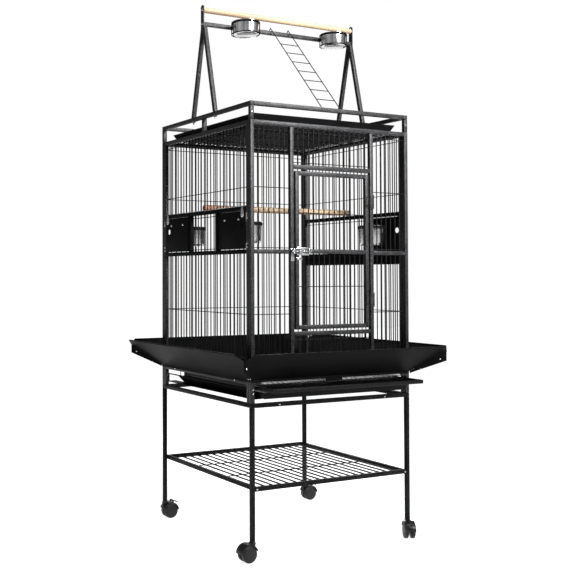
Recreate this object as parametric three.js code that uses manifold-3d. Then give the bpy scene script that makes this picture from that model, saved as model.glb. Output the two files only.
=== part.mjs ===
// Bird cage on a wheeled stand, with an open play top. Millimetres, +Z up, front towards -Y.
// The origin is on the floor, under the middle of the cage.
import * as THREE from 'three';
import { mergeVertices } from 'three/addons/utils/BufferGeometryUtils.js';
import Module from 'manifold-3d';

const wasm = await Module();
wasm.setup();

// Driving dimensions
const bodyWidth = 610;
const bodyDepth = 565;
const rimTop = 1370;
const totalHeight = 1730;
const playWidth = 605;
const guardWidth = 810;
const guardDepth = 780;
const tube = 13;
const wire = 3;
const wirePitch = 20;
const grillePitch = 30;
const sheet = 1.5;
const gap = 0.3;

// Heights of the levels, from the floor up
const wheelRadius = 25;
const casterTop = 60;
const shelfTop = 218;
const standTop = 465;
const panelBottom = 521;
const guardBottom = 536;
const guardTop = 620;
const trayBottom = 478.5;
const trayTop = 500;
const grateBottom = 504.5;
const grateTop = 516.5;
const bandBottom = 912;
const bandTop = 1056;
const lowerCrossWire = 729;
const upperCrossWire = 1113;
const bodyTop = 1314;

// Half sizes that many pieces share
const halfWidth = bodyWidth / 2;
const halfDepth = bodyDepth / 2;
const wallX = halfWidth - tube / 2;
const wallY = halfDepth - tube / 2;

const hammertone = { color: 0x55575a, roughness: 0.5, metalness: 0.55 };
const satinBlack = { color: 0x1d1e20, roughness: 0.45, metalness: 0.4 };
const wireFinish = { color: 0x3c3e41, roughness: 0.45, metalness: 0.6 };
const stainless = { color: 0xc9ccd0, roughness: 0.18, metalness: 1 };
const zinc = { color: 0xb4b8bd, roughness: 0.3, metalness: 0.95 };
const beech = { color: 0xd9bd92, roughness: 0.6, metalness: 0 };
const blackPlastic = { color: 0x17181a, roughness: 0.4, metalness: 0 };

const cage = new THREE.Group();

// Solids

function toManifold(geometry) {
  const bare = geometry.clone();
  bare.deleteAttribute('normal');
  bare.deleteAttribute('uv');
  const merged = mergeVertices(bare, 1e-4);
  return new wasm.Manifold(new wasm.Mesh({
    numProp: 3,
    vertProperties: new Float32Array(merged.attributes.position.array),
    triVerts: new Uint32Array(merged.index.array),
  }));
}

function toGeometry(solid) {
  const mesh = solid.getMesh();
  const geometry = new THREE.BufferGeometry();
  geometry.setAttribute('position', new THREE.BufferAttribute(new Float32Array(mesh.vertProperties), 3));
  geometry.setIndex(new THREE.BufferAttribute(new Uint32Array(mesh.triVerts), 1));
  geometry.computeVertexNormals();
  return geometry;
}

function join(parts) {
  return toGeometry(parts.map(toManifold).reduce((whole, part) => whole.add(part)));
}

function cut(base, tools) {
  return toGeometry(tools.map(toManifold).reduce((whole, tool) => whole.subtract(tool), toManifold(base)));
}

function piece(name, geometry, finish, parent = cage) {
  const mesh = new THREE.Mesh(geometry, new THREE.MeshStandardMaterial({ ...finish, flatShading: true }));
  mesh.name = name;
  parent.add(mesh);
  return mesh;
}

function block(x, y, z) {
  const box = new THREE.BoxGeometry(Math.abs(x[1] - x[0]), Math.abs(y[1] - y[0]), Math.abs(z[1] - z[0]));
  return box.translate((x[0] + x[1]) / 2, (y[0] + y[1]) / 2, (z[0] + z[1]) / 2);
}

function strut(from, to, width, depth = width) {
  const start = new THREE.Vector3(...from);
  const along = new THREE.Vector3(...to).sub(start);
  const box = new THREE.BoxGeometry(width, depth, along.length());
  box.translate(0, 0, along.length() / 2);
  box.applyQuaternion(new THREE.Quaternion().setFromUnitVectors(
    new THREE.Vector3(0, 0, 1), along.clone().normalize()));
  return box.translate(...from);
}

function rod(radius, length, axis, centre, sides = 12) {
  const cylinder = new THREE.CylinderGeometry(radius, radius, length, sides);
  if (axis === 'x') cylinder.rotateZ(Math.PI / 2);
  if (axis === 'z') cylinder.rotateX(Math.PI / 2);
  return cylinder.translate(...centre);
}

function lathe(profile, sides) {
  const points = profile.map(([radius, height]) => new THREE.Vector2(radius, height));
  return new THREE.LatheGeometry(points, sides).rotateX(Math.PI / 2);
}

function ring(inner, outer, bottom, top, sides = 20) {
  return lathe([[inner, bottom], [outer, bottom], [outer, top], [inner, top], [inner, bottom]], sides);
}

// A flat shape drawn in X and Z, made into a plate whose middle is at the given Y
function plate(shape, thickness, middle = 0, smoothness = 12) {
  const solid = new THREE.ExtrudeGeometry(shape, {
    depth: thickness, bevelEnabled: false, curveSegments: smoothness });
  return solid.rotateX(Math.PI / 2).translate(0, middle + thickness / 2, 0);
}

function outline(points) {
  return new THREE.Shape(points.map(([x, z]) => new THREE.Vector2(x, z)));
}

// Wire work: uprights with cross wires welded behind them, all with their ends buried in the frame

function evenly(low, high, count) {
  return Array.from({ length: count }, (_, i) => low + (high - low) * (i + 1) / (count + 1));
}

function wiresFor(low, high, pitch = wirePitch) {
  return evenly(low, high, Math.round((high - low) / pitch) - 1);
}

function wireGrid(across, up, crossBars, pitch = wirePitch) {
  const buried = 2;
  const half = wire / 2;
  const uprights = wiresFor(...across, pitch).map((x) => block([x - half, x + half], [-half, half],
    [up[0] - buried, up[1] + buried]));
  const crossing = crossBars.map((z) => block([across[0] - buried, across[1] + buried], [0.5, 0.5 + wire],
    [z - half, z + half]));
  return join([...uprights, ...crossing]);
}

const midTube = [-tube / 2, tube / 2];

// A welded frame of square tube: a plate with its openings cut out, each given as its X and Z range
function framed(points, openings, thickness = tube, middle = 0) {
  const tools = openings.map(([x, z]) => block(x, [middle - thickness, middle + thickness], z));
  return cut(plate(outline(points), thickness, middle), tools);
}

function rectangle(half, z) {
  return [[-half, z[0]], [half, z[0]], [half, z[1]], [-half, z[1]]];
}

function footed(half) {
  const inner = half - tube;
  return [[-half, panelFoot], [-inner, panelFoot], [-inner, panelBottom], [inner, panelBottom],
    [inner, panelFoot], [half, panelFoot], [half, bodyTop], [-half, bodyTop]];
}

// Wall panels, each drawn facing -Y and then turned into its place

const jamb = 148;
const sillTop = 675;
const transomBottom = 1173;
const sideHalf = halfDepth - tube - gap;
const panelFoot = standTop + gap;
const panelInside = [panelBottom + tube, bodyTop - tube];
const bandLower = [panelInside[0], bandBottom];

function frontPanel() {
  const bays = [-1, 1].map((side) => [side * (jamb + tube), side * (halfWidth - tube)].sort((a, b) => a - b));
  const above = [bandBottom + tube, panelInside[1]];
  const belowDoor = [[-jamb, jamb], [panelInside[0], sillTop - tube]];
  const overDoor = [[-jamb, jamb], [transomBottom + tube, panelInside[1]]];
  const doorway = [[-jamb, jamb], [sillTop, transomBottom]];
  const frame = framed(footed(halfWidth), [belowDoor, doorway, overDoor,
    ...bays.flatMap((bay) => [[bay, bandLower], [bay, above]])]);
  return join([frame, wireGrid(...belowDoor, []), wireGrid(...overDoor, []),
    ...bays.map((bay) => wireGrid(bay, bandLower, [lowerCrossWire])),
    ...bays.map((bay) => wireGrid(bay, above, [upperCrossWire]))]);
}

function backPanel() {
  const inside = [[tube - halfWidth, halfWidth - tube], panelInside];
  return join([framed(footed(halfWidth), [inside]), wireGrid(...inside, [lowerCrossWire, upperCrossWire])]);
}

// Feeder openings are at one or both ends of the band; side -1 is the panel's left, 1 its right
const feederPost = 80;
const feederInner = feederPost + tube;
const feederOuter = sideHalf - tube;
const feederSill = bandBottom + tube;
const feederHead = bandTop - tube;
const pinAcross = feederInner + 0.5;
const pinOut = -tube / 2 - 2.5;

function feederEars(side) {
  const across = [side * (pinAcross - 3), side * (pinAcross + 3)];
  const out = [pinOut - 3, -tube / 2 + 1];
  return [[feederSill - 5, feederSill - 1], [feederHead + 1, feederHead + 5]]
    .map((up) => block(across, out, up));
}

function sidePanel(feederSides) {
  const clear = [-feederOuter, feederOuter];
  const band = [feederSill, feederHead];
  const upper = [bandTop, panelInside[1]];
  const wired = [...clear];
  for (const side of feederSides) wired[side < 0 ? 0 : 1] = side * feederPost;
  const feederOpenings = feederSides.map((side) => [[side * feederInner, side * feederOuter], band]);
  const frame = framed(footed(sideHalf),
    [[clear, bandLower], [clear, upper], [wired, band], ...feederOpenings]);
  return join([frame, wireGrid(clear, bandLower, [lowerCrossWire]), wireGrid(clear, upper, [upperCrossWire]),
    wireGrid(wired, band, []), ...feederSides.flatMap(feederEars)]);
}

function flatGrille(half, deep, bar, thickness, crossBars) {
  const inside = [[-half + bar, half - bar], [deep[0] + bar, deep[1] - bar]];
  const frame = framed(rectangle(half, deep), [inside], thickness, (thickness - wire) / 2);
  return join([frame, wireGrid(...inside, crossBars, grillePitch)]).rotateX(-Math.PI / 2);
}

function roofGrille() {
  const deep = halfDepth - tube - gap;
  return flatGrille(halfWidth - tube - gap, [-deep, deep], 10, 10, [0]).translate(0, 0, bodyTop - wire / 2);
}

piece('front_panel', frontPanel(), hammertone).position.set(0, -wallY, 0);
const back = piece('back_panel', backPanel(), hammertone);
back.position.set(0, wallY, 0);
back.rotation.z = Math.PI;

const leftWall = new THREE.Group();
leftWall.position.set(-wallX, 0, 0);
leftWall.rotation.z = -Math.PI / 2;
const rightWall = new THREE.Group();
rightWall.position.set(wallX, 0, 0);
rightWall.rotation.z = Math.PI / 2;
cage.add(leftWall, rightWall);
piece('left_panel', sidePanel([-1, 1]), hammertone, leftWall);
piece('right_panel', sidePanel([-1]), hammertone, rightWall);
piece('roof_grille', roofGrille(), wireFinish);

// Main door, on two butt hinges at its right

const doorHalf = 142;
const doorBottom = 681;
const doorTop = 1167;
const doorRail = 914;
const hingeX = 145;
const hingeOut = -tube / 2 - 4.5;
const pinRadius = 2;
const knuckleRadius = 4.5;
const hingeHeights = { upper: 1082, lower: 769 };
const hingeLength = 45;
const knuckleLength = 15;

function doorKnuckle(height) {
  const half = knuckleLength / 2 - gap;
  const leaf = block([hingeX - 14, hingeX], [-tube / 2 - 2, -tube / 2 + 0.5],
    [height - half + 0.4, height + half - 0.4]);
  const barrel = rod(knuckleRadius, 2 * half, 'z', [hingeX, hingeOut, height]);
  const bore = rod(pinRadius + 0.5, hingeLength, 'z', [hingeX, hingeOut, height]);
  return { solid: [leaf, barrel], bore };
}

function mainDoor() {
  const edge = doorHalf - tube;
  const lower = [[-edge, edge], [doorBottom + tube, doorRail]];
  const upper = [[-edge, edge], [doorRail + tube, doorTop - tube]];
  const knuckles = Object.values(hingeHeights).map(doorKnuckle);
  const parts = [framed(rectangle(doorHalf, [doorBottom, doorTop]), [lower, upper]),
    wireGrid(...lower, [doorBottom + 131]), wireGrid(...upper, [doorTop - 129]),
    ...knuckles.flatMap((knuckle) => knuckle.solid)];
  return cut(join(parts), knuckles.map((knuckle) => knuckle.bore));
}

function fixedHinge() {
  const reach = hingeLength / 2;
  const inner = knuckleLength / 2 + gap;
  const parts = [rod(pinRadius, hingeLength + 1, 'z', [0, 0, 0]),
    block([4.8, 16], [-0.1, 4.2], [-reach, reach])];
  for (const side of [-1, 1]) {
    const middle = side * (inner + reach) / 2;
    const half = (reach - inner) / 2;
    parts.push(rod(knuckleRadius, 2 * half, 'z', [0, 0, middle]));
    parts.push(block([0, 6], [-1, 4], [middle - half + 0.4, middle + half - 0.4]));
  }
  return join(parts);
}

piece('main_door', mainDoor(), hammertone).position.set(0, -wallY, 0);
for (const [place, height] of Object.entries(hingeHeights)) {
  piece(`door_hinge_${place}`, fixedHinge(), hammertone).position.set(hingeX, -wallY + hingeOut, height);
}

// Slide bolt on the door's left stile, and its open keeper on the jamb

const boltHeight = 920;
const boltSize = 7;
const faceY = -halfDepth;
const boltY = faceY - 8;

function latchPlate() {
  const parts = [block([-139, -94], [faceY - 2, faceY - gap], [boltHeight - 12, boltHeight + 12])];
  for (const x of [-134, -100]) {
    parts.push(block([x - 4, x + 4], [faceY - 15, faceY - 1.5], [boltHeight - 7.5, boltHeight + 7.5]));
  }
  const room = boltSize / 2 + 0.5;
  const channel = block([-145, -90], [boltY - room, boltY + room], [boltHeight - room, boltHeight + room]);
  return cut(join(parts), [channel]);
}

function latchBolt() {
  const half = boltSize / 2;
  const bar = block([-163, -91], [boltY - half, boltY + half], [boltHeight - half, boltHeight + half]);
  return join([bar, rod(4, 12, 'y', [-125.5, boltY - 8, boltHeight])]);
}

function latchKeeper() {
  const parts = [block([-161, -149], [faceY - 2, faceY - gap], [boltHeight - 30, boltHeight + 9])];
  for (const low of [boltHeight - boltSize / 2 - 4, boltHeight + boltSize / 2 + 1]) {
    parts.push(block([-160, -150], [faceY - 15, faceY - 1.5], [low, low + 3]));
  }
  return join(parts);
}

piece('door_latch_plate', latchPlate(), zinc);
piece('door_latch_bolt', latchBolt(), zinc);
piece('door_latch_keeper', latchKeeper(), zinc);

// Swing-out feeders: a sheet door on pins, its ring and lift-out bowl, and a drop-shaped catch

const feederMiddle = 174;
const feederInward = 53;
const bowlRadius = 42.5;
const bowlLip = 46;
const ringInner = 43.5;
const ringTop = 1009;
const catchAcross = 238;
const catchHeight = 1032;
const fingerHole = { across: 231, height: 996, radius: 9 };

function feederDoor(side) {
  const edge = 1.5;
  const across = [side * (feederInner + edge), side * (feederOuter - edge)];
  const face = block(across, [-tube / 2, -tube / 2 + 2], [feederSill + edge, feederHead - edge]);
  const barrelHeight = [feederSill + 1, feederHead - 1];
  const barrel = rod(2, barrelHeight[1] - barrelHeight[0], 'z',
    [side * pinAcross, pinOut, (barrelHeight[0] + barrelHeight[1]) / 2], 8);
  const leaf = block([side * (pinAcross + 0.6), side * (pinAcross + 8)], [pinOut - 1, -tube / 2 + 1],
    [barrelHeight[0] + 1, barrelHeight[1] - 1]);
  const hole = rod(fingerHole.radius, 20, 'y', [side * fingerHole.across, -tube / 2, fingerHole.height], 16);
  return cut(join([face, barrel, leaf]), [hole]);
}

function feederRing(side) {
  const centre = [side * feederMiddle, feederInward, 0];
  const hoop = ring(ringInner, ringInner + 3, ringTop - 8, ringTop).translate(...centre);
  const inside = -tube / 2 + 2 + gap;
  const foot = block([centre[0] - 44, centre[0] + 44], [inside, inside + 3], [ringTop - 2, ringTop + 14]);
  const arm = block([centre[0] - 14, centre[0] + 14], [inside + 1, feederInward - ringInner - 0.5],
    [ringTop - 6, ringTop - 1]);
  const tab = block([centre[0] - 16, centre[0] + 16], [inside + 0.5, inside + 2.5],
    [ringTop - 7, ringTop + 2]);
  return join([hoop, foot, arm, tab]);
}

function bowl(height) {
  const wall = 1.4;
  return lathe([[0, 0], [bowlRadius - 8, 0], [bowlRadius - 2, 5], [bowlRadius, height - 3],
    [bowlLip, height - 3], [bowlLip, height], [bowlRadius - wall, height],
    [bowlRadius - 2 - wall, 6], [bowlRadius - 9, wall], [0, wall]], 20);
}

const feederBowlHeight = 66;
const feederBowlZ = ringTop + gap + 3 - feederBowlHeight;

function feederCatch(side) {
  const shape = new THREE.Shape();
  shape.absarc(0, 0, 10, Math.PI * 0.92, Math.PI * 2.08, false);
  shape.lineTo(3.5, 24);
  shape.lineTo(-3.5, 24);
  const out = -tube / 2 - gap - 1.25;
  return plate(shape, 2.5, out, 10).translate(side * catchAcross, 0, catchHeight);
}

const feeders = [['left_front', leftWall, 1], ['left_back', leftWall, -1], ['right_front', rightWall, -1]];
for (const [place, wall, side] of feeders) {
  piece(`feeder_door_${place}`, feederDoor(side), satinBlack, wall);
  piece(`feeder_ring_${place}`, feederRing(side), satinBlack, wall);
  piece(`feeder_catch_${place}`, feederCatch(side), zinc, wall);
  const dish = piece(`feeder_bowl_${place}`, bowl(feederBowlHeight), stainless, wall);
  dish.position.set(side * feederMiddle, feederInward, feederBowlZ);
}

// Grate, standing a little way out at the front, and the droppings tray under it

const trayTopHalf = 281;
const trayBottomHalf = 266;
const trayFront = -310;
const trayBack = 210;
const grateHalf = 285;
const grateFront = -368;
const grateBack = 163;
const runnerFace = halfWidth - tube - gap;

function taperedBlock(bottom, top, z) {
  const shape = new THREE.BoxGeometry(1, 1, 1);
  const corners = shape.attributes.position;
  for (let i = 0; i < corners.count; i += 1) {
    const high = corners.getZ(i) > 0;
    const half = high ? top : bottom;
    const [x, y] = [Math.sign(corners.getX(i)) * half[0], Math.sign(corners.getY(i)) * half[1]];
    corners.setXYZ(i, x, y, high ? z[1] : z[0]);
  }
  return shape;
}

function pan(bottom, top, z, wall) {
  const inner = taperedBlock([bottom[0] - wall, bottom[1] - wall], [top[0] - wall, top[1] - wall],
    [z[0] + wall, z[1] + wall]);
  return cut(taperedBlock(bottom, top, z), [inner]);
}

function bottomTray() {
  const half = (trayBack - trayFront) / 2;
  const foot = [trayBottomHalf, half - (trayTopHalf - trayBottomHalf)];
  return pan(foot, [trayTopHalf, half], [trayBottom, trayTop], sheet);
}

function grate() {
  const middle = (grateFront + grateBack) / 2;
  return flatGrille(grateHalf, [grateFront, grateBack], 6, grateTop - grateBottom, [middle])
    .translate(0, 0, grateTop - wire / 2);
}

function runner(side) {
  const length = [-sideHalf, sideHalf];
  const strip = (inner, low) => block([side * inner, side * runnerFace], length, [low, low + 2.5]);
  const parts = [strip(258, trayBottom - gap - 2.5), strip(282.5, grateBottom - gap - 2.5)];
  for (const end of [-1, 1]) {
    parts.push(block([side * (runnerFace - 2.2), side * (runnerFace - 0.2)],
      [end * (sideHalf - 12), end * (sideHalf - 0.5)], [trayBottom - 2, grateBottom - 1]));
  }
  return join(parts);
}

piece('bottom_tray', bottomTray(), satinBlack).position.y = (trayFront + trayBack) / 2;
piece('grate', grate(), wireFinish);
piece('tray_runner_left', runner(-1), satinBlack);
piece('tray_runner_right', runner(1), satinBlack);

// Seed guard: four slanted sheets with down-turned ends that are screwed together at the corners

const guardChamfer = 42;
const flangeAtTip = 30;
const flangeAtBody = 8;
const mitreGap = 0.4;

function guardPanel(half, face, guardHalf, reach) {
  const run = reach - face - gap - 2;
  const rise = guardTop - guardBottom - 2;
  const slope = Math.hypot(run, rise);
  const trim = 1.2;
  const tip = { across: guardHalf - guardChamfer / 2, out: reach - guardChamfer / 2 };
  const tipShare = (tip.out - face - gap) / run;
  const sheetShape = outline([[-half + trim, 0], [half - trim, 0], [tip.across - trim, slope * tipShare],
    [guardHalf - guardChamfer - trim, slope], [-guardHalf + guardChamfer + trim, slope],
    [-tip.across + trim, slope * tipShare]]);
  const slanted = new THREE.ExtrudeGeometry(sheetShape, { depth: sheet, bevelEnabled: false });
  slanted.rotateX(Math.PI - Math.atan2(rise, run)).translate(0, -face - gap - 0.3, guardBottom + 0.5);
  const topEdge = guardHalf - guardChamfer - 2 * trim;
  const parts = [slanted,
    block([-half + 2 * trim, half - 2 * trim], [-face - gap - sheet, -face - gap],
      [guardBottom - 8, guardBottom + 3]),
    block([-topEdge, topEdge], [-reach, -reach + 5], [guardTop - 3, guardTop])];
  for (const side of [-1, 1]) {
    parts.push(mitreFlange(side, [half, face + gap], [tip.across, tip.out], rise * tipShare));
  }
  return join(parts);
}

function mitreFlange(side, corner, tip, rise) {
  const run = Math.hypot(tip[0] - corner[0], tip[1] - corner[1]);
  const flange = [[1.5, -flangeAtBody], [run - 1, rise - flangeAtTip], [run - 1, rise - 0.7], [1.5, -0.7]];
  const shape = outline(flange.map(([along, up]) => [side * along, up]));
  const turn = Math.atan2(tip[1] - corner[1], tip[0] - corner[0]);
  return plate(shape, sheet, -mitreGap - sheet / 2).rotateZ(-side * turn)
    .translate(side * corner[0], -corner[1], guardBottom + 0.5);
}

const alongX = [halfWidth, halfDepth, guardWidth / 2, guardDepth / 2];
const alongY = [halfDepth, halfWidth, guardDepth / 2, guardWidth / 2];
piece('seed_guard_front', guardPanel(...alongX), satinBlack);
piece('seed_guard_right', guardPanel(...alongY), satinBlack).rotation.z = Math.PI / 2;
piece('seed_guard_back', guardPanel(...alongX), satinBlack).rotation.z = Math.PI;
piece('seed_guard_left', guardPanel(...alongY), satinBlack).rotation.z = -Math.PI / 2;

// Stand: four legs, the welded frame on top of them and a wire shelf between them

const legX = halfWidth - tube / 2;
const legY = halfDepth - tube / 2;
const ends = [['front', -1], ['back', 1]];
const sides = [['left', -1], ['right', 1]];
const corners = ends.flatMap(([end, y]) => sides.map(([side, x]) => [`${end}_${side}`, x, y]));

function leg(x, y) {
  return block([x - tube / 2, x + tube / 2], [y - tube / 2, y + tube / 2],
    [casterTop + gap, standTop - tube - gap]);
}

// A level frame lying in X and Y, with its upper face at the given height
function levelFrame(half, deep, top) {
  const inside = [[tube - half, half - tube], [tube - deep, deep - tube]];
  return framed(rectangle(half, [-deep, deep]), [inside])
    .rotateX(-Math.PI / 2).translate(0, 0, top - tube / 2);
}

function shelf() {
  return flatGrille(halfWidth - tube - gap, [-halfDepth, halfDepth], tube, tube, [-90, 90])
    .translate(0, 0, shelfTop - wire / 2);
}

for (const [place, x, y] of corners) {
  piece(`leg_${place}`, leg(x * legX, y * legY), hammertone);
}
piece('stand_top_frame', levelFrame(halfWidth, halfDepth, standTop), hammertone);
piece('shelf', shelf(), hammertone);

// Casters: a hooded swivel body over two wheels on one axle, trailing behind the swivel line

const wheelWidth = 13;
const wheelGap = 8;
const trail = 18;
const axleRadius = 3;
const casterHeadings = { front_left: 0, front_right: 62, back_left: 180, back_right: 180 };
const braked = ['back_left', 'back_right'];
const brakePivot = { x: -trail - 9, z: 59 };

function casterBody(hasBrake) {
  const half = wheelGap / 2 + wheelWidth;
  const web = block([-trail - 8, 9], [-wheelGap / 2 + gap, wheelGap / 2 - gap],
    [wheelRadius - 7, casterTop - 6]);
  const hood = new THREE.Shape();
  hood.absarc(-trail, wheelRadius, wheelRadius + 5, Math.PI * 0.1, Math.PI * 0.98, false);
  hood.absarc(-trail, wheelRadius, wheelRadius + 2, Math.PI * 0.98, Math.PI * 0.1, true);
  const parts = [web, plate(hood, 2 * half, 0, 10), rod(9, 8, 'z', [0, 0, casterTop - 4], 16),
    block([-trail, 8], [-8, 8], [casterTop - 9, casterTop - 4])];
  if (hasBrake) {
    for (const side of [-1, 1]) {
      parts.push(block([brakePivot.x - 3, brakePivot.x + 3], [side * 8, side * 11],
        [casterTop - 8, casterTop + 1]));
    }
  }
  return cut(join(parts), [rod(axleRadius + 0.5, 2 * wheelGap, 'y', [-trail, 0, wheelRadius])]);
}

function wheelPair() {
  const parts = [rod(axleRadius, wheelGap + 2, 'y', [0, 0, 0])];
  for (const side of [-1, 1]) {
    parts.push(rod(wheelRadius, wheelWidth - gap, 'y', [0, side * (wheelGap + wheelWidth) / 2, 0], 20));
  }
  return join(parts);
}

function brakeLever() {
  const paddle = strut([0, 0, 0], [-21, 0, -7], 3, 14);
  return join([rod(3, 15.4, 'y', [0, 0, 0]), paddle]);
}

for (const [place, x, y] of corners) {
  const caster = new THREE.Group();
  caster.position.set(x * legX, y * legY, 0);
  caster.rotation.z = THREE.MathUtils.degToRad(casterHeadings[place]);
  cage.add(caster);
  const hasBrake = braked.includes(place);
  piece(`caster_body_${place}`, casterBody(hasBrake), blackPlastic, caster);
  piece(`caster_wheels_${place}`, wheelPair(), blackPlastic, caster).position.set(-trail, 0, wheelRadius);
  if (hasBrake) {
    const lever = piece(`caster_brake_${place}`, brakeLever(), blackPlastic, caster);
    lever.position.set(brakePivot.x, 0, brakePivot.z);
  }
}

// Top: a tray that slides out over the roof, and a raised rim around it

function topTray() {
  return pan([262, 243], [275, 256], [bodyTop + gap, bodyTop + 25], sheet);
}

function rim() {
  const inside = [halfWidth - tube, halfDepth - tube];
  const openHeight = [bodyTop, rimTop - tube];
  const across = [-inside[0], inside[0]];
  const tools = [block(across, [-inside[1], inside[1]], [bodyTop, rimTop + 1]),
    block(across, [-halfWidth, halfWidth], openHeight)];
  for (const end of [-1, 1]) {
    tools.push(block([-halfWidth - 1, halfWidth + 1], [end * tube / 2, end * inside[1]], openHeight));
  }
  return cut(block([-halfWidth, halfWidth], [-halfDepth, halfDepth], [bodyTop + gap, rimTop]), tools);
}

piece('top_tray', topTray(), satinBlack);
piece('rim', rim(), hammertone);

// Play top: two A-frames on the rim, a crossbar, a wooden perch, a ladder and two bowls in holders

const legSpread = 69;
const crossbarHeight = 1668;
const apex = crossbarHeight - tube / 2 - gap;
const playPerchHeight = totalHeight - 16;
const playPerchRadius = 9;
const tabHalf = 9;

function playFrame(side) {
  const foot = rimTop + gap;
  const [outer, inner] = [legSpread + 6.6, legSpread - 6.6];
  const crotch = foot + (apex - foot) * inner / (inner + 5);
  const legs = plate(outline([[-outer, foot], [-inner, foot], [0, crotch], [inner, foot], [outer, foot],
    [8, apex], [-8, apex]]), tube);
  const tab = new THREE.Shape();
  tab.moveTo(-tabHalf, apex - 25);
  tab.lineTo(tabHalf, apex - 25);
  tab.absarc(0, totalHeight - tabHalf, tabHalf, 0, Math.PI, false);
  const tabPlate = plate(tab, 3, -side * (playWidth / 2 + gap + 1.5 - wallX));
  const hole = rod(3, 10, 'y', [0, -side * tube / 2, playPerchHeight - 22]);
  return cut(join([legs, tabPlate]), [hole]).rotateZ(Math.PI / 2).translate(side * wallX, 0, 0);
}

function ladder() {
  const peak = [0, crossbarHeight + 17];
  const foot = [-276, rimTop + gap + 1.2];
  const run = [foot[0] - peak[0], foot[1] - peak[1]];
  const at = (x, share) => [x, peak[0] + run[0] * share, peak[1] + run[1] * share];
  const rails = [-38, 34];
  const parts = rails.flatMap((x) => [strut(at(x, 0), at(x, 1), wire),
    strut([x, peak[0] - 1, peak[1] + 0.6], [x, peak[0] + 17, peak[1] - 19], wire)]);
  for (let rung = 0; rung < 7; rung += 1) {
    const share = 0.213 + rung * 0.1155;
    parts.push(strut(at(rails[0], share), at(rails[1], share), wire - 0.4));
  }
  return join(parts);
}

const playBowlHeight = 45;
const playBowlRim = 1674;
const playBowlX = 178;
const playBowlY = -62;

function playBowlHolder(side) {
  const centre = [side * playBowlX, playBowlY, 0];
  const seat = playBowlRim - 3 - gap;
  const parts = [ring(ringInner, ringInner + 3, seat - 5, seat).translate(...centre),
    ring(ringInner, ringInner + 3, seat - 39, seat - 35).translate(...centre)];
  for (const turn of [-30, 60, 150]) {
    const angle = THREE.MathUtils.degToRad(turn);
    parts.push(block([ringInner + 0.4, ringInner + 2.6], [-4, 4], [seat - 37, seat - 2])
      .rotateZ(angle).translate(...centre));
  }
  const front = playBowlY + ringInner + 1.5;
  parts.push(block([centre[0] - 12, centre[0] + 12], [front, -tube / 2 - gap],
    [crossbarHeight - 7, seat - 1]));
  const room = rod(ringInner, 90, 'z', [centre[0], centre[1], seat], 20);
  return cut(join(parts), [room]);
}

for (const [place, side] of sides) {
  piece(`play_frame_${place}`, playFrame(side), hammertone);
  piece(`play_bowl_holder_${place}`, playBowlHolder(side), satinBlack);
  piece(`play_bowl_${place}`, bowl(playBowlHeight), stainless)
    .position.set(side * playBowlX, playBowlY, playBowlRim - playBowlHeight);
}
const barEnd = playWidth / 2;
piece('play_crossbar', block([-barEnd, barEnd], midTube,
  [crossbarHeight - tube / 2, crossbarHeight + tube / 2]), hammertone);
piece('play_perch', rod(playPerchRadius, playWidth, 'x', [0, 0, playPerchHeight], 20), beech);
piece('play_ladder', ladder(), wireFinish);
piece('cage_perch', rod(10, 2 * (halfWidth - tube + 4), 'x', [0, 8, bandTop + gap + 10], 20), beech);

export default cage;
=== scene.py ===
import math

import bmesh
import bpy
from mathutils import Matrix, Vector


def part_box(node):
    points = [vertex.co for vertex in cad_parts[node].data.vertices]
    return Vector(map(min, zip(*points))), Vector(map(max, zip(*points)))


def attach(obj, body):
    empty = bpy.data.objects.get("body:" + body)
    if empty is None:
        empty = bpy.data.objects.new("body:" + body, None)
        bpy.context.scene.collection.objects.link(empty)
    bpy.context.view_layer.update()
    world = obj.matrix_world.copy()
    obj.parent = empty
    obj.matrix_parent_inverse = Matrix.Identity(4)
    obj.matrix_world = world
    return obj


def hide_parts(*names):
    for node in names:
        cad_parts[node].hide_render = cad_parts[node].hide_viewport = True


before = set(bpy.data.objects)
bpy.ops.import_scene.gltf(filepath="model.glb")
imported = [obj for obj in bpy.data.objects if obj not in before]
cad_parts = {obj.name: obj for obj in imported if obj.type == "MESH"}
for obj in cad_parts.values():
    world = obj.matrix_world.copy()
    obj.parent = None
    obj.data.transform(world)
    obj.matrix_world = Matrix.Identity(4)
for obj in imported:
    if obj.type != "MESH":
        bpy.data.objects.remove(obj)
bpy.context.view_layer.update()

# Room: a plain white floor and white surroundings. A soft lamp with a narrow beam lights the upper front,
# so faces towards the door are lit and faces towards the left, and the stand, fall into shade. The stand's
# coat also carries painted shade.

scene = bpy.context.scene
camera_data = bpy.data.cameras.new("camera")
camera_data.sensor_width = 36
camera_data.lens = 57.72166
camera_data.shift_x = 0.264931
camera_data.shift_y = -0.066138
camera_data.clip_end = 60
camera = bpy.data.objects.new("camera", camera_data)
scene.collection.objects.link(camera)
camera.matrix_world = (
    Matrix.Translation((-1.8325, -2.6136, 0.8478))
    @ Matrix.Rotation(math.radians(-26.213), 4, "Z")
    @ Matrix.Rotation(math.radians(91.435), 4, "X")
)
scene.camera = camera
scene.view_settings.view_transform = "Standard"


def soft_lamp(name, place, aim, size, power, spread):
    data = bpy.data.lights.new(name, "AREA")
    data.shape = "DISK"
    data.size = size
    data.spread = math.radians(spread)
    data.energy = power
    lamp = bpy.data.objects.new(name, data)
    scene.collection.objects.link(lamp)
    lamp.location = place
    lamp.rotation_euler = (Vector(aim) - Vector(place)).to_track_quat("-Z", "Y").to_euler()


soft_lamp("lamp_front", (0.9, -3.0, 2.6), (0, 0, 1.45), 1.1, 38, 54)
soft_lamp("lamp_over", (0.4, -0.6, 4.2), (0, 0, 1.4), 2.0, 12, 70)
soft_lamp("lamp_back", (2.4, 3.2, 2.4), (0, 0, 1.2), 1.8, 12, 80)

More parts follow.
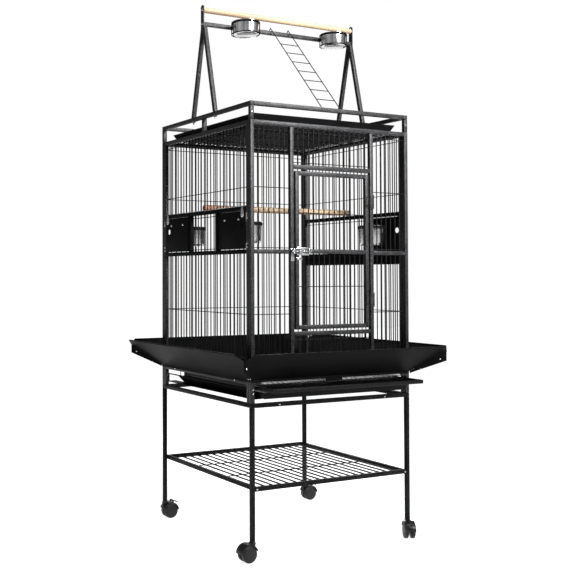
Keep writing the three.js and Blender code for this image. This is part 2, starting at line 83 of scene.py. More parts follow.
world = bpy.data.worlds.new("room")
world.use_nodes = True
scene.world = world
room = world.node_tree
room.nodes.clear()
seen = room.nodes.new("ShaderNodeBackground")
seen.inputs["Color"].default_value = (1, 1, 1, 1)
felt = room.nodes.new("ShaderNodeBackground")
way = room.nodes.new("ShaderNodeTexCoord")
tall = room.nodes.new("ShaderNodeMapping")
tall.inputs["Scale"].default_value = (2.4, 2.4, 0.5)
panels = room.nodes.new("ShaderNodeTexNoise")
panels.inputs["Scale"].default_value = 1.0
shades = room.nodes.new("ShaderNodeValToRGB")
shades.color_ramp.elements[0].position = 0.4
shades.color_ramp.elements[0].color = (0.04, 0.04, 0.042, 1)
shades.color_ramp.elements[1].position = 0.62
shades.color_ramp.elements[1].color = (0.5, 0.505, 0.52, 1)
room.links.new(way.outputs["Generated"], tall.inputs["Vector"])
room.links.new(tall.outputs["Vector"], panels.inputs["Vector"])
room.links.new(panels.outputs["Fac"], shades.inputs["Fac"])
room.links.new(shades.outputs["Color"], felt.inputs["Color"])
path = room.nodes.new("ShaderNodeLightPath")
chosen = room.nodes.new("ShaderNodeMixShader")
room_output = room.nodes.new("ShaderNodeOutputWorld")
room.links.new(path.outputs["Is Camera Ray"], chosen.inputs["Fac"])
room.links.new(felt.outputs[0], chosen.inputs[1])
room.links.new(seen.outputs[0], chosen.inputs[2])
room.links.new(chosen.outputs[0], room_output.inputs["Surface"])


class Value:
    """One socket of a finish, for shader maths."""

    def __init__(self, finish, socket):
        self.finish = finish
        self.socket = socket

    def maths(self, operation, first, second):
        return self.finish.node("ShaderNodeMath", {"operation": operation}, {0: first, 1: second})

    def __add__(self, other):
        return self.maths("ADD", self, other)

    __radd__ = __add__

    def __mul__(self, other):
        return self.maths("MULTIPLY", self, other)

    __rmul__ = __mul__


class Finish:
    """One material with its Principled shader, and a way to add nodes to it."""

    def __init__(self, name):
        self.material = bpy.data.materials.new(name)
        self.material.use_nodes = True
        self.tree = self.material.node_tree
        self.shader = self.tree.nodes["Principled BSDF"]
        self.place = self.node("ShaderNodeTexCoord", output="Object")

    def node(self, kind, settings=None, sockets=None, output=0):
        made = self.tree.nodes.new(kind)
        for key, value in (settings or {}).items():
            if key == "stops":
                made.color_ramp.elements[0].position, made.color_ramp.elements[0].color = value[0]
                made.color_ramp.elements[1].position, made.color_ramp.elements[1].color = value[-1]
                for position, colour in value[1:-1]:
                    made.color_ramp.elements.new(position).color = colour
            else:
                setattr(made, key, value)
        for key, value in (sockets or {}).items():
            self.feed(made.inputs[key], value)
        return Value(self, made.outputs[output])

    def feed(self, socket, value):
        if isinstance(value, Value):
            self.tree.links.new(value.socket, socket)
        else:
            socket.default_value = value

    def surface(self, **sockets):
        for key, value in sockets.items():
            self.feed(self.shader.inputs[key.replace("_", " ")], value)
        return self.material

    def noise(self, scale, detail=2.0, roughness=0.5, stretch=None):
        place = self.place
        if stretch:
            place = self.node("ShaderNodeMapping", None, {"Vector": place, "Scale": stretch})
        return self.node("ShaderNodeTexNoise", None,
                         {"Vector": place, "Scale": scale, "Detail": detail, "Roughness": roughness})

    def ramp(self, value, *stops):
        shades = [(position, (*colour, 1)) for position, colour in stops]
        return self.node("ShaderNodeValToRGB", {"stops": shades}, {"Fac": value})

    def bump(self, height, strength, distance):
        return self.node("ShaderNodeBump", None,
                         {"Height": height, "Strength": strength, "Distance": distance})


floor_finish = Finish("floor_paper")
floor_shade = floor_finish.ramp(floor_finish.noise(0.6), (0.3, (0.78, 0.78, 0.78)),
                                (0.7, (0.82, 0.82, 0.82)))
floor_paper = floor_finish.surface(Base_Color=floor_shade, Roughness=0.95, Specular_IOR_Level=0.0,
                                   Emission_Strength=0.86, Emission_Color=(1, 1, 1, 1))
floor_mesh = bmesh.new()
bmesh.ops.create_grid(floor_mesh, x_segments=1, y_segments=1, size=9,
                      matrix=Matrix.Translation((0, 0, -0.0006)))
floor_data = bpy.data.meshes.new("floor")
floor_mesh.to_mesh(floor_data)
floor_mesh.free()
floor = bpy.data.objects.new("floor", floor_data)
scene.collection.objects.link(floor)
floor_data.materials.append(floor_paper)

# Tubes: thin square steel tube in a dark grey hammered powder coat, with rounded long edges.
# Each frame is welded from butted lengths, so every length keeps its own rounded edges. The stand has the
# same coat, drawn at 0.4 of its colour and sheen as painted shade.

tube = 0.013
tube_edge = 0.0014


def hammered_coat(name, share):
    coat = Finish(name)
    dimples = coat.noise(420, 3, 0.55)
    flecks = coat.noise(900, 2, 0.6)
    patches = coat.noise(22, 2)
    blend = dimples * 0.62 + flecks * 0.28 + patches * 0.1
    tones = ((0.38, 0.0029), (0.5, 0.0138), (0.62, 0.067))
    # share scales the tones and the sheen; a share below 1 paints shade into the coat.
    stops = [(stop, (tone * share, tone * share, tone * share * 1.05)) for stop, tone in tones]
    colour = coat.ramp(blend, *stops)
    shine = 0.34 + flecks * 0.26
    return coat.surface(Base_Color=colour, Metallic=0.2, Roughness=shine, Specular_IOR_Level=0.15 * share,
                        Normal=coat.bump(dimples, 0.32, 0.0006))


hammered_grey = hammered_coat("hammered_grey", 1.0)
# The stand's copy is the same paint drawn darker: painted shade for the lower parts out of the lamp's beam.
stand_grey_painted_shade = hammered_coat("hammered_grey_stand_painted_shade", 0.4)


def add_bar(shape, low, high, edge=tube_edge, segments=2):
    """A straight length with rounded edges, filling the box between two corners."""
    low, high = Vector(low), Vector(high)
    made = bmesh.ops.create_cube(shape, size=1)["verts"]
    bmesh.ops.scale(shape, vec=high - low, verts=made)
    bmesh.ops.translate(shape, vec=(high + low) / 2, verts=made)
    if edge:
        edges = list({e for v in made for e in v.link_edges})
        bmesh.ops.bevel(shape, geom=edges, offset=edge, offset_type="OFFSET", affect="EDGES",
                        segments=segments, profile=0.5, material=-1, clamp_overlap=True)


def shown(shape, name, body, slot, finish, *replaced, place=None, sharp=35):
    """Turns a finished shape into a piece that rides on a body."""
    if place:
        bmesh.ops.transform(shape, matrix=place, verts=shape.verts)
    data = bpy.data.meshes.new(name)
    shape.to_mesh(data)
    shape.free()
    data.shade_smooth()
    data.set_sharp_from_angle(angle=math.radians(sharp))
    data.materials.append(finish)
    piece = bpy.data.objects.new(name, data)
    scene.collection.objects.link(piece)
    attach(piece, body)
    if replaced:
        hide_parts(*replaced)
    return piece


def repaint(finish, *names):
    for name in names:
        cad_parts[name].data.materials.clear()
        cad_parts[name].data.materials.append(finish)


corners = ("front_left", "front_right", "back_left", "back_right")
legs = bmesh.new()
for corner in corners:
    add_bar(legs, *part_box(f"leg_{corner}"))
shown(legs, "stand_legs", "frame", "tube", stand_grey_painted_shade, *[f"leg_{corner}" for corner in corners])


def level_frame(shape, low, high, width=tube):
    """Four butted lengths lying flat round the edge of a box."""
    for side in (0, 1):
        x = (low.x, low.x + width) if side == 0 else (high.x - width, high.x)
        add_bar(shape, (x[0], low.y, low.z), (x[1], high.y, high.z))
        y = (low.y, low.y + width) if side == 0 else (high.y - width, high.y)
        add_bar(shape, (low.x + width, y[0], low.z), (high.x - width, y[1], high.z))


stand_top = bmesh.new()
level_frame(stand_top, *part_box("stand_top_frame"))
shown(stand_top, "stand_top_rails", "frame", "tube", stand_grey_painted_shade, "stand_top_frame")

rim_low, rim_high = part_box("rim")
raised_rim = bmesh.new()
level_frame(raised_rim, Vector((rim_low.x, rim_low.y, rim_high.z - tube)), rim_high)
for x in (rim_low.x, rim_high.x - tube):
    for y in (rim_low.y, -tube / 2, rim_high.y - tube):
        add_bar(raised_rim, (x, y, rim_low.z), (x + tube, y + tube, rim_high.z - tube))
shown(raised_rim, "top_rim", "frame", "tube", hammered_grey, "rim")

# Cage walls: tube frames with round steel wires welded in every 20 mm, and thin cross wires
# welded just inside them. Wires and frames are coated together.

wire_radius = 0.0018
cross_radius = 0.0013
pitch = 0.02
wall_bottom = 0.521
wall_top = 1.314
wall_foot = 0.4653
band_bottom = 0.912
band_top = 1.056


def wire_coat():
    coat = Finish("wire_black")
    grain = coat.noise(700, 2)
    cover = coat.noise(14, 2)
    colour = coat.ramp(grain * 0.6 + cover * 0.4, (0.35, (0.002, 0.002, 0.0022)),
                       (0.65, (0.0065, 0.0066, 0.0071)))
    return coat.surface(Base_Color=colour, Roughness=0.36 + grain * 0.2, Specular_IOR_Level=0.12,
                        Normal=coat.bump(grain, 0.2, 0.0003))


wire_black = wire_coat()


def add_rod(shape, start, end, radius, sides=10):
    """A round rod from one point to another, closed at both ends."""
    start, end = Vector(start), Vector(end)
    run = end - start
    turn = Vector((0, 0, 1)).rotation_difference(run).to_matrix().to_4x4()
    return bmesh.ops.create_cone(shape, cap_ends=True, segments=sides, radius1=radius, radius2=radius,
                                 depth=run.length, matrix=Matrix.Translation((start + end) / 2) @ turn)["verts"]


def add_wires(shape, across, up, crossings=(), bury=0.002):
    """Upright wires across an opening, and the cross wires welded behind them."""
    count = round((across[1] - across[0]) / pitch) - 1
    for i in range(count):
        x = across[0] + (across[1] - across[0]) * (i + 1) / (count + 1)
        add_rod(shape, (x, 0, up[0] - bury), (x, 0, up[1] + bury), wire_radius)
    for z in crossings:
        add_rod(shape, (across[0] - bury, 0.0026, z), (across[1] + bury, 0.0026, z), cross_radius)


def add_frame(shape, half, foot, bottom, top):
    """Two uprights with a rail between them at the bottom and at the top."""
    deep = (-tube / 2, tube / 2)
    for side in (-1, 1):
        x = sorted((side * half, side * (half - tube)))
        add_bar(shape, (x[0], deep[0], foot), (x[1], deep[1], top))
    for z in (bottom, top - tube):
        add_bar(shape, (tube - half, deep[0], z), (half - tube, deep[1], z + tube))


def facing(node, turn):
    """The placing of a wall drawn in X and Z, looking along -Y, at its CAD node."""
    low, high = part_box(node)
    middle = {0: (0, high.y - tube / 2), 180: (0, low.y + tube / 2)}
    middle[-90] = (high.x - tube / 2, 0)
    middle[90] = (low.x + tube / 2, 0)
    return Matrix.Translation((*middle[turn], 0)) @ Matrix.Rotation(math.radians(turn), 4, "Z")


front_place = facing("front_panel", 0)
back_place = facing("back_panel", 180)
half_front = 0.305
jamb_inside = 0.148
sill = (0.662, 0.675)
transom = (1.173, 1.186)

front_tubes = bmesh.new()
add_frame(front_tubes, half_front, wall_foot, wall_bottom, wall_top)
for side in (-1, 1):
    post = sorted((side * jamb_inside, side * (jamb_inside + tube)))
    add_bar(front_tubes, (post[0], -tube / 2, wall_bottom + tube), (post[1], tube / 2, wall_top - tube))
    bay = sorted((side * (jamb_inside + tube), side * (half_front - tube)))
    add_bar(front_tubes, (bay[0], -tube / 2, band_bottom), (bay[1], tube / 2, band_bottom + tube))
for rail in (sill, transom):
    add_bar(front_tubes, (-jamb_inside, -tube / 2, rail[0]), (jamb_inside, tube / 2, rail[1]))
shown(front_tubes, "front_wall_frame", "frame", "tube", hammered_grey, "front_panel", place=front_place)

front_wires = bmesh.new()
for side in (-1, 1):
    bay = sorted((side * (jamb_inside + tube), side * (half_front - tube)))
    add_wires(front_wires, bay, (wall_bottom + tube, band_bottom), (0.729,))
    add_wires(front_wires, bay, (band_bottom + tube, wall_top - tube), (0.93, 1.113, 1.2875))
doorway_bay = (-jamb_inside, jamb_inside)
add_wires(front_wires, doorway_bay, (wall_bottom + tube, sill[0]), (0.649,))
add_wires(front_wires, doorway_bay, (transom[1], wall_top - tube), (1.193, 1.2875))
shown(front_wires, "front_wall_wires", "frame", "tube", wire_black, place=front_place)

back_tubes = bmesh.new()
add_frame(back_tubes, half_front, wall_foot, wall_bottom, wall_top)
shown(back_tubes, "back_wall_frame", "frame", "tube", hammered_grey, "back_panel", place=back_place)
back_wires = bmesh.new()
add_wires(back_wires, (tube - half_front, half_front - tube), (wall_bottom + tube, wall_top - tube),
          (0.545, 0.729, 1.113, 1.2875))
shown(back_wires, "back_wall_wires", "frame", "tube", wire_black, place=back_place)

# Side walls: the same frames with a sheet-steel band at mid height. The band is satin black, its top
# edge is folded over into a hem drawn in bright zinc as a painted highlight, and it holds the swing-out
# feeders.

half_side = 0.2692
feeder_post = 0.08
feeder_inner = 0.093
feeder_outer = half_side - tube


def satin_coat():
    coat = Finish("satin_black")
    peel = coat.noise(650, 2)
    cloud = coat.noise(9, 3)
    colour = coat.ramp(cloud, (0.3, (0.0035, 0.0035, 0.0038)), (0.7, (0.0065, 0.0066, 0.007)))
    return coat.surface(Base_Color=colour, Roughness=0.34 + cloud * 0.16, Specular_IOR_Level=0.015,
                        Normal=coat.bump(peel, 0.18, 0.0003))


satin_black = satin_coat()


def side_wall(name, turn, feeder_sides):
    place = facing(f"{name}_panel", turn)
    tubes = bmesh.new()
    add_frame(tubes, half_side, wall_foot, wall_bottom, wall_top)
    shown(tubes, f"{name}_wall_frame", "frame", "tube", hammered_grey, f"{name}_panel", place=place)
    clear = (-feeder_outer, feeder_outer)
    window = [-feeder_post if -1 in feeder_sides else -feeder_outer,
              feeder_post if 1 in feeder_sides else feeder_outer]
    wires = bmesh.new()
    add_wires(wires, clear, (wall_bottom + tube, band_bottom), (0.545, 0.729))
    add_wires(wires, clear, (band_top, wall_top - tube), (1.113, 1.2875))
    add_wires(wires, window, (band_bottom + tube, band_top - tube), (0.9305, 1.0345))
    shown(wires, f"{name}_wall_wires", "frame", "tube", wire_black, place=place)
    band = bmesh.new()
    for z in (band_bottom, band_top - tube):
        add_bar(band, (clear[0], -tube / 2, z), (clear[1], tube / 2, z + tube), 0.0008)
    for side in feeder_sides:
        post = sorted((side * feeder_post, side * feeder_inner))
        add_bar(band, (post[0], -tube / 2, band_bottom + tube), (post[1], tube / 2, band_top - tube), 0.0008)
        for z in (band_bottom + tube - 0.005, band_top - tube + 0.001):
            ear = sorted((side * (feeder_inner - 0.0025), side * (feeder_inner + 0.0035)))
            add_bar(band, (ear[0], -0.012, z), (ear[1], -0.0055, z + 0.004), 0.0006)
    shown(band, f"{name}_band", "frame", "sheet", satin_black, place=place)
    return place


left_place = side_wall("left", -90, (-1, 1))
right_place = side_wall("right", 90, (-1,))

inner_strip = bmesh.new()
add_bar(inner_strip, (-feeder_outer, 0.0045, band_bottom - 0.029),
        (feeder_outer, 0.0064, band_bottom + 0.001), 0.0006)
shown(inner_strip, "right_band_strip", "frame", "sheet", satin_black, place=right_place)


def bright_zinc():
    plate = Finish("bright_zinc")
    clouds = plate.noise(60, 3)
    scuffs = plate.noise(500, 2)
    colour = plate.ramp(clouds, (0.3, (0.4, 0.405, 0.415)), (0.7, (0.56, 0.56, 0.56)))
    return plate.surface(Base_Color=colour, Metallic=1.0, Roughness=0.12 + scuffs * 0.2,
                         Normal=plate.bump(scuffs, 0.1, 0.0002))


zinc_bright = bright_zinc()
# The hem strips are bright zinc to paint the highlight along each band's top edge.
for name, place in (("left", left_place), ("right", right_place)):
    highlight_hem = bmesh.new()
    add_bar(highlight_hem, (-feeder_outer, -tube / 2 - 0.0012, band_top - 0.0006),
            (feeder_outer, -tube / 2 + 0.0012, band_top + 0.0012), 0.0005)
    shown(highlight_hem, f"{name}_band_hem_highlight", "frame", "zinc", zinc_bright, place=place)

# Grilles: the roof, the shelf and the pull-out grate are flat frames with wires running from front to
# back, and thinner wires welded across underneath. The shelf's wires are heavier and farther apart.

shelf_pitch = 0.03
shelf_rod = 0.0026
grille_rod = 0.0021


def grille(node, name, body, width, gap, rod, crossings, finish, slot):
    low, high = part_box(node)
    shape = bmesh.new()
    level_frame(shape, low, high, width)
    shown(shape, f"{name}_frame", body, slot, finish, node)
    wires = bmesh.new()
    level = high.z - rod - 0.0001
    inside = (low.x + width, high.x - width)
    count = round((inside[1] - inside[0]) / gap) - 1
    for i in range(count):
        x = inside[0] + (inside[1] - inside[0]) * (i + 1) / (count + 1)
        add_rod(wires, (x, low.y + width - 0.002, level), (x, high.y - width + 0.002, level), rod)
    for share in crossings:
        y = low.y + (high.y - low.y) * share
        add_rod(wires, (inside[0] - 0.002, y, level - 0.003), (inside[1] + 0.002, y, level - 0.003), 0.0017)
    shown(wires, f"{name}_wires", body, slot, wire_black)


grille("roof_grille", "roof", "frame", 0.01, pitch, grille_rod, (0.25, 0.5, 0.75), wire_black, "wire")
grille("shelf", "shelf", "frame", tube, shelf_pitch, shelf_rod, (0.34, 0.66), stand_grey_painted_shade, "tube")
grille("grate", "grate", "grate", 0.006, pitch, grille_rod, (0.12, 0.5, 0.88), wire_black, "wire")

# Door: a welded tube frame with its own wires, hung on two pin hinges at its right. A plated slide bolt
# on its left stile runs into an open keeper on the post.

door_half = 0.142
door_span = (0.681, 1.167)
door_rail = 0.914
door_tubes = bmesh.new()
add_frame(door_tubes, door_half, door_span[0], door_span[0], door_span[1])
add_bar(door_tubes, (tube - door_half, -tube / 2, door_rail), (door_half - tube, tube / 2, door_rail + tube))
shown(door_tubes, "door_frame", "door", "tube", hammered_grey, "main_door", place=front_place)

door_wires = bmesh.new()
door_bay = (tube - door_half, door_half - tube)
add_wires(door_wires, door_bay, (door_span[0] + tube, door_rail), (0.812,))
add_wires(door_wires, door_bay, (door_rail + tube, door_span[1] - tube), (1.038,))
shown(door_wires, "door_wires", "door", "tube", wire_black, place=front_place)


def screw(shape, place, toward, radius=0.0033, height=0.0018):
    """A low domed screw head that stands on a face."""
    toward = Vector(toward).normalized()
    turn = Vector((0, 0, 1)).rotation_difference(toward).to_matrix().to_4x4()
    matrix = Matrix.Translation(place) @ turn
    base = bmesh.ops.create_cone(shape, cap_ends=True, segments=16, radius1=radius, radius2=radius * 0.55,
                                 depth=height, matrix=matrix @ Matrix.Translation((0, 0, height / 2)))["verts"]
    rims = [e for v in base for e in v.link_edges]
    bmesh.ops.bevel(shape, geom=list(set(rims)), offset=height * 0.25, offset_type="OFFSET", affect="EDGES",
                    segments=2, profile=0.5, material=-1, clamp_overlap=True)


door_knuckles = bmesh.new()
fixed_knuckles = bmesh.new()
hinge_face = -tube / 2
hinge_heights = (1.082, 0.769)
pin = (0.145, -0.011)
for middle in hinge_heights:
    add_rod(door_knuckles, (*pin, middle - 0.0072), (*pin, middle + 0.0072), 0.0045, 32)
    add_bar(door_knuckles, (0.1305, hinge_face - 0.002, middle - 0.02),
            (0.1405, hinge_face, middle + 0.02), 0.0006)
    add_bar(door_knuckles, (0.14, hinge_face - 0.0045, middle - 0.0068),
            (0.146, hinge_face - 0.0015, middle + 0.0068), 0.0005)
    for side in (-1, 1):
        low, high = sorted((middle + side * 0.0078, middle + side * 0.0225))
        add_rod(fixed_knuckles, (*pin, low), (*pin, high), 0.0045, 32)
        add_bar(fixed_knuckles, (0.1455, hinge_face - 0.0045, low + 0.0004),
                (0.151, hinge_face - 0.0008, high - 0.0004), 0.0004)
    add_bar(fixed_knuckles, (0.1498, hinge_face - 0.0045, middle - 0.0225),
            (0.1605, hinge_face - 0.0004, middle + 0.0225), 0.0006)
    add_rod(fixed_knuckles, (*pin, middle - 0.0232), (*pin, middle + 0.0232), 0.0022, 24)
shown(door_knuckles, "door_hinge_leaves", "door", "tube", hammered_grey, place=front_place)
shown(fixed_knuckles, "post_hinge_leaves", "frame", "tube", hammered_grey, "door_hinge_upper", "door_hinge_lower",
      place=front_place)

leaf_screws = {"door": bmesh.new(), "frame": bmesh.new()}
for middle in hinge_heights:
    for z in (middle - 0.0125, middle + 0.0125):
        screw(leaf_screws["door"], (0.1348, hinge_face - 0.002, z), (0, -1, 0), 0.0027, 0.0013)
        screw(leaf_screws["frame"], (0.1565, hinge_face - 0.0045, z), (0, -1, 0), 0.0027, 0.0013)
for body, heads in leaf_screws.items():
    shown(heads, f"hinge_screws_{body}", body, "sheet", satin_black, place=front_place)

plate_low, plate_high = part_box("door_latch_plate")
bolt_low, bolt_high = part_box("door_latch_bolt")
keeper_low, keeper_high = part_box("door_latch_keeper")
bolt_z = 0.92
plate_face = plate_high.y - 0.0017
latch_plate = bmesh.new()
add_bar(latch_plate, (plate_low.x, plate_face, bolt_z - 0.012),
        (plate_high.x, plate_high.y, bolt_z + 0.012), 0.0008)
for x in (-0.134, -0.1):
    for z in (bolt_z + 0.0045, bolt_z - 0.0075):
        add_bar(latch_plate, (x - 0.004, plate_low.y, z),
                (x + 0.004, plate_high.y - 0.001, z + 0.003), 0.0006)
    add_bar(latch_plate, (x - 0.004, plate_low.y, bolt_z - 0.0075),
            (x + 0.004, plate_low.y + 0.003, bolt_z + 0.0075), 0.0008)
add_bar(latch_plate, (plate_low.x, plate_face, 0.893), (-0.119, plate_high.y, 0.901), 0.0008)
for x in (-0.121, -0.111):
    for z in (bolt_z - 0.0095, bolt_z + 0.0095):
        screw(latch_plate, (x, plate_face, z), (0, -1, 0), 0.002, 0.001)
shown(latch_plate, "door_latch_housing", "door", "zinc", zinc_bright, "door_latch_plate")

bolt = bmesh.new()
bolt_y = -0.2905
knob_x = -0.1255
add_rod(bolt, (bolt_low.x, bolt_y, bolt_z), (bolt_high.x, bolt_y, bolt_z), 0.0034, 32)
add_rod(bolt, (knob_x, bolt_low.y + 0.004, bolt_z), (knob_x, bolt_y, bolt_z), 0.0026, 24)
bmesh.ops.create_uvsphere(bolt, u_segments=24, v_segments=14, radius=0.0045,
                          matrix=Matrix.Translation((knob_x, bolt_low.y + 0.0046, bolt_z)))
shown(bolt, "door_latch_slide", "latch_bolt", "zinc", zinc_bright, "door_latch_bolt", sharp=50)

keeper = bmesh.new()
keeper_face = keeper_high.y - 0.0017
add_bar(keeper, (keeper_low.x, keeper_face, keeper_low.z), keeper_high, 0.0008)
for z in (bolt_z - 0.0075, bolt_z + 0.0045):
    add_bar(keeper, (keeper_low.x + 0.001, keeper_low.y, z),
            (keeper_high.x - 0.001, keeper_high.y - 0.001, z + 0.003), 0.0007)
for z in (keeper_low.z + 0.005, keeper_low.z + 0.014):
    screw(keeper, (-0.155, keeper_face, z), (0, -1, 0), 0.0028, 0.0014)
shown(keeper, "door_latch_catch", "frame", "zinc", zinc_bright, "door_latch_keeper")

# Feeders: folded sheet doors that swing out on pins. Each carries a wire ring with a lift-out stainless
# bowl behind it, two bright bolts, a finger hole, and a drop-shaped catch that turns on a rivet.

ring_top = 1.009
feeder_middle = 0.174
feeder_inward = 0.053
feeder_ring = 0.0452


def steel_spin():
    steel = Finish("polished_steel")
    lines = steel.noise(1.0, 4, 0.6, (14, 14, 900))
    smears = steel.noise(18, 2)
    colour = steel.ramp(smears, (0.3, (0.6, 0.6, 0.6)), (0.7, (0.74, 0.735, 0.73)))
    return steel.surface(Base_Color=colour, Metallic=1.0, Roughness=0.1 + lines * 0.16 + smears * 0.06,
                         Normal=steel.bump(lines, 0.08, 0.0002))


polished_steel = steel_spin()


def spun(shape, outline, turns=64):
    """Spins an outline of (radius, height) points round the Z axis."""
    points = [shape.verts.new((radius, 0, height)) for radius, height in outline]
    edges = [shape.edges.new(pair) for pair in zip(points, points[1:])]
    bmesh.ops.spin(shape, geom=points + edges, cent=(0, 0, 0), axis=(0, 0, 1), angle=math.tau, steps=turns,
                   use_merge=True, use_duplicate=False)
    bmesh.ops.remove_doubles(shape, verts=shape.verts, dist=1e-6)
    bmesh.ops.recalc_face_normals(shape, faces=shape.faces)


def bowl(node, name, body):
    low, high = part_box(node)
    deep = high.z - low.z
    lip = (high.x - low.x) / 2
    side = lip - 0.0035
    outline = [(0, 0.0012), (side - 0.012, 0.0012), (side - 0.010, 0), (side - 0.006, 0.0004),
               (side - 0.0025, 0.003), (side - 0.0012, 0.008), (side, deep - 0.0034),
               (side + 0.0008, deep - 0.0026), (lip - 0.0012, deep - 0.0026), (lip, deep - 0.0016),
               (lip, deep - 0.0006), (lip - 0.0008, deep), (side - 0.0002, deep - 0.0004),
               (side - 0.001, deep - 0.002), (side - 0.0022, 0.009), (side - 0.0036, 0.0048),
               (side - 0.0068, 0.0022), (side - 0.0112, 0.0022), (side - 0.0132, 0.003), (0, 0.003)]
    shape = bmesh.new()
    spun(shape, outline, 72)
    centre = Matrix.Translation(((low.x + high.x) / 2, (low.y + high.y) / 2, low.z))
    shown(shape, name, body, "stainless", polished_steel, node, place=centre, sharp=40)


def ring_outline(radius, middle, thick=0.0017, sides=10):
    angles = [math.tau * i / sides for i in range(sides + 1)]
    return [(radius + thick * math.cos(angle), middle + thick * math.sin(angle)) for angle in angles]


def join_in(shape, part):
    """Moves a finished part into a larger shape."""
    scrap = bpy.data.meshes.new("scrap")
    part.to_mesh(scrap)
    part.free()
    shape.from_mesh(scrap)
    bpy.data.meshes.remove(scrap)


def add_ring(shape, centre, radius, z, thick=0.0017, turns=64):
    """A closed ring of round wire lying level."""
    ring = bmesh.new()
    spun(ring, ring_outline(radius, 0, thick), turns)
    bmesh.ops.translate(ring, vec=(centre[0], centre[1], z), verts=ring.verts)
    join_in(shape, ring)


def thicken(shape, face, run):
    """Turns a flat face into a plate."""
    raised = bmesh.ops.extrude_face_region(shape, geom=[face])["geom"]
    bmesh.ops.translate(shape, vec=run, verts=[v for v in raised if isinstance(v, bmesh.types.BMVert)])
    bmesh.ops.recalc_face_normals(shape, faces=shape.faces)


def feeder_sheet(name, wall_place, side):
    """The folded door with the leaf and the pin that it swings on."""
    x = sorted((side * (feeder_inner + 0.0015), side * (feeder_outer - 0.0015)))
    z = (band_bottom + tube + 0.0015, band_top - tube - 0.0015)
    door = bmesh.new()
    add_bar(door, (x[0], -tube / 2, z[0]), (x[1], -tube / 2 + 0.0016, z[1]), 0.0006)
    for fold in (z[0], z[1] - 0.0016):
        add_bar(door, (x[0] + 0.004, -tube / 2 + 0.001, fold),
                (x[1] - 0.004, -0.0005, fold + 0.0016), 0.0004)
    leaf = sorted((side * (feeder_inner + 0.0011), side * (feeder_inner + 0.0085)))
    add_bar(door, (leaf[0], -0.0098, z[0] + 0.001), (leaf[1], -0.006, z[1] - 0.001), 0.0005)
    pin_x = side * (feeder_inner + 0.0005)
    add_rod(door, (pin_x, -0.009, z[0]), (pin_x, -0.009, z[1]), 0.0022, 20)
    return shown(door, f"feeder_sheet_{name}", f"feeder_{name}", "sheet", satin_black,
                 f"feeder_door_{name}", place=wall_place)


def punch_finger_hole(piece, wall_place, side):
    hole = bmesh.new()
    hole_x = side * 0.231
    add_rod(hole, (hole_x, -0.02, 0.996), (hole_x, 0.01, 0.996), 0.009, 48)
    bmesh.ops.transform(hole, matrix=wall_place, verts=hole.verts)
    cut_data = bpy.data.meshes.new("cutter")
    hole.to_mesh(cut_data)
    hole.free()
    cutter = bpy.data.objects.new("cutter", cut_data)
    scene.collection.objects.link(cutter)
    punch = piece.modifiers.new("finger_hole", "BOOLEAN")
    punch.object = cutter
    punch.operation = "DIFFERENCE"
    punch.solver = "EXACT"
    bpy.context.view_layer.update()
    shaped = piece.evaluated_get(bpy.context.evaluated_depsgraph_get())
    punched = bpy.data.meshes.new_from_object(shaped)
    piece.modifiers.clear()
    piece.data = punched
    bpy.data.objects.remove(cutter)
    bpy.data.meshes.remove(cut_data)


def feeder_holder(name, wall_place, side):
    """Two wire rings joined by short rods, and the clamp that fixes them to the door."""
    holder = bmesh.new()
    centre = (side * feeder_middle, feeder_inward)
    upper, lower = ring_top - 0.002, ring_top - 0.0062
    add_ring(holder, centre, feeder_ring, upper)
    add_ring(holder, centre, feeder_ring, lower)
    for turn in range(0, 360, 60):
        angle = math.radians(turn)
        at = (centre[0] + feeder_ring * math.cos(angle), centre[1] + feeder_ring * math.sin(angle))
        add_rod(holder, (*at, lower), (*at, upper), 0.0016)
    add_bar(holder, (centre[0] - 0.044, -0.0042, ring_top - 0.002),
            (centre[0] + 0.044, -0.0012, ring_top + 0.014), 0.0008)
    add_bar(holder, (centre[0] - 0.014, -0.003, ring_top - 0.006),
            (centre[0] + 0.014, 0.0085, ring_top - 0.001), 0.0008)
    add_bar(holder, (centre[0] - 0.016, -0.0037, ring_top - 0.018),
            (centre[0] + 0.016, -0.0017, ring_top + 0.002), 0.0006)
    shown(holder, f"feeder_holder_{name}", f"feeder_{name}", "sheet", satin_black,
          f"feeder_ring_{name}", place=wall_place)


def feeder_catch(name, wall_place, side):
    """The drop-shaped plate that turns on a rivet and holds the door shut."""
    catch = bmesh.new()
    points = [catch.verts.new((-0.0035, 0, 0.024)), catch.verts.new((0.0035, 0, 0.024))]
    for i in range(25):
        angle = math.radians(14.4 - 208.8 * i / 24)
        points.append(catch.verts.new((0.01 * math.cos(angle), 0, 0.01 * math.sin(angle))))
    thicken(catch, catch.faces.new(points), (0, 0.002, 0))
    bmesh.ops.bevel(catch, geom=catch.edges[:], offset=0.0006, offset_type="OFFSET", affect="EDGES",
                    segments=2, profile=0.5, material=-1, clamp_overlap=True)
    bmesh.ops.translate(catch, vec=(side * 0.238, -0.009, 1.032), verts=catch.verts)
    screw(catch, (side * 0.238, -0.0088, 1.032), (0, -1, 0), 0.0034, 0.0016)
    shown(catch, f"feeder_latch_{name}", f"feeder_catch_{name}", "zinc", zinc_bright,
          f"feeder_catch_{name}", place=wall_place)


def feeder(name, wall_place, side):
    piece = feeder_sheet(name, wall_place, side)
    punch_finger_hole(piece, wall_place, side)
    feeder_holder(name, wall_place, side)
    heads = bmesh.new()
    for along in (0.134, 0.214):
        screw(heads, (side * along, -tube / 2, 1.0175), (0, -1, 0), 0.0042, 0.0022)
    shown(heads, f"feeder_bolts_{name}", f"feeder_{name}", "zinc", zinc_bright, place=wall_place)
    feeder_catch(name, wall_place, side)
    bowl(f"feeder_bowl_{name}", f"feeder_dish_{name}", f"feeder_bowl_{name}")


feeder("left_front", left_place, 1)
feeder("left_back", left_place, -1)
feeder("right_front", right_place, -1)

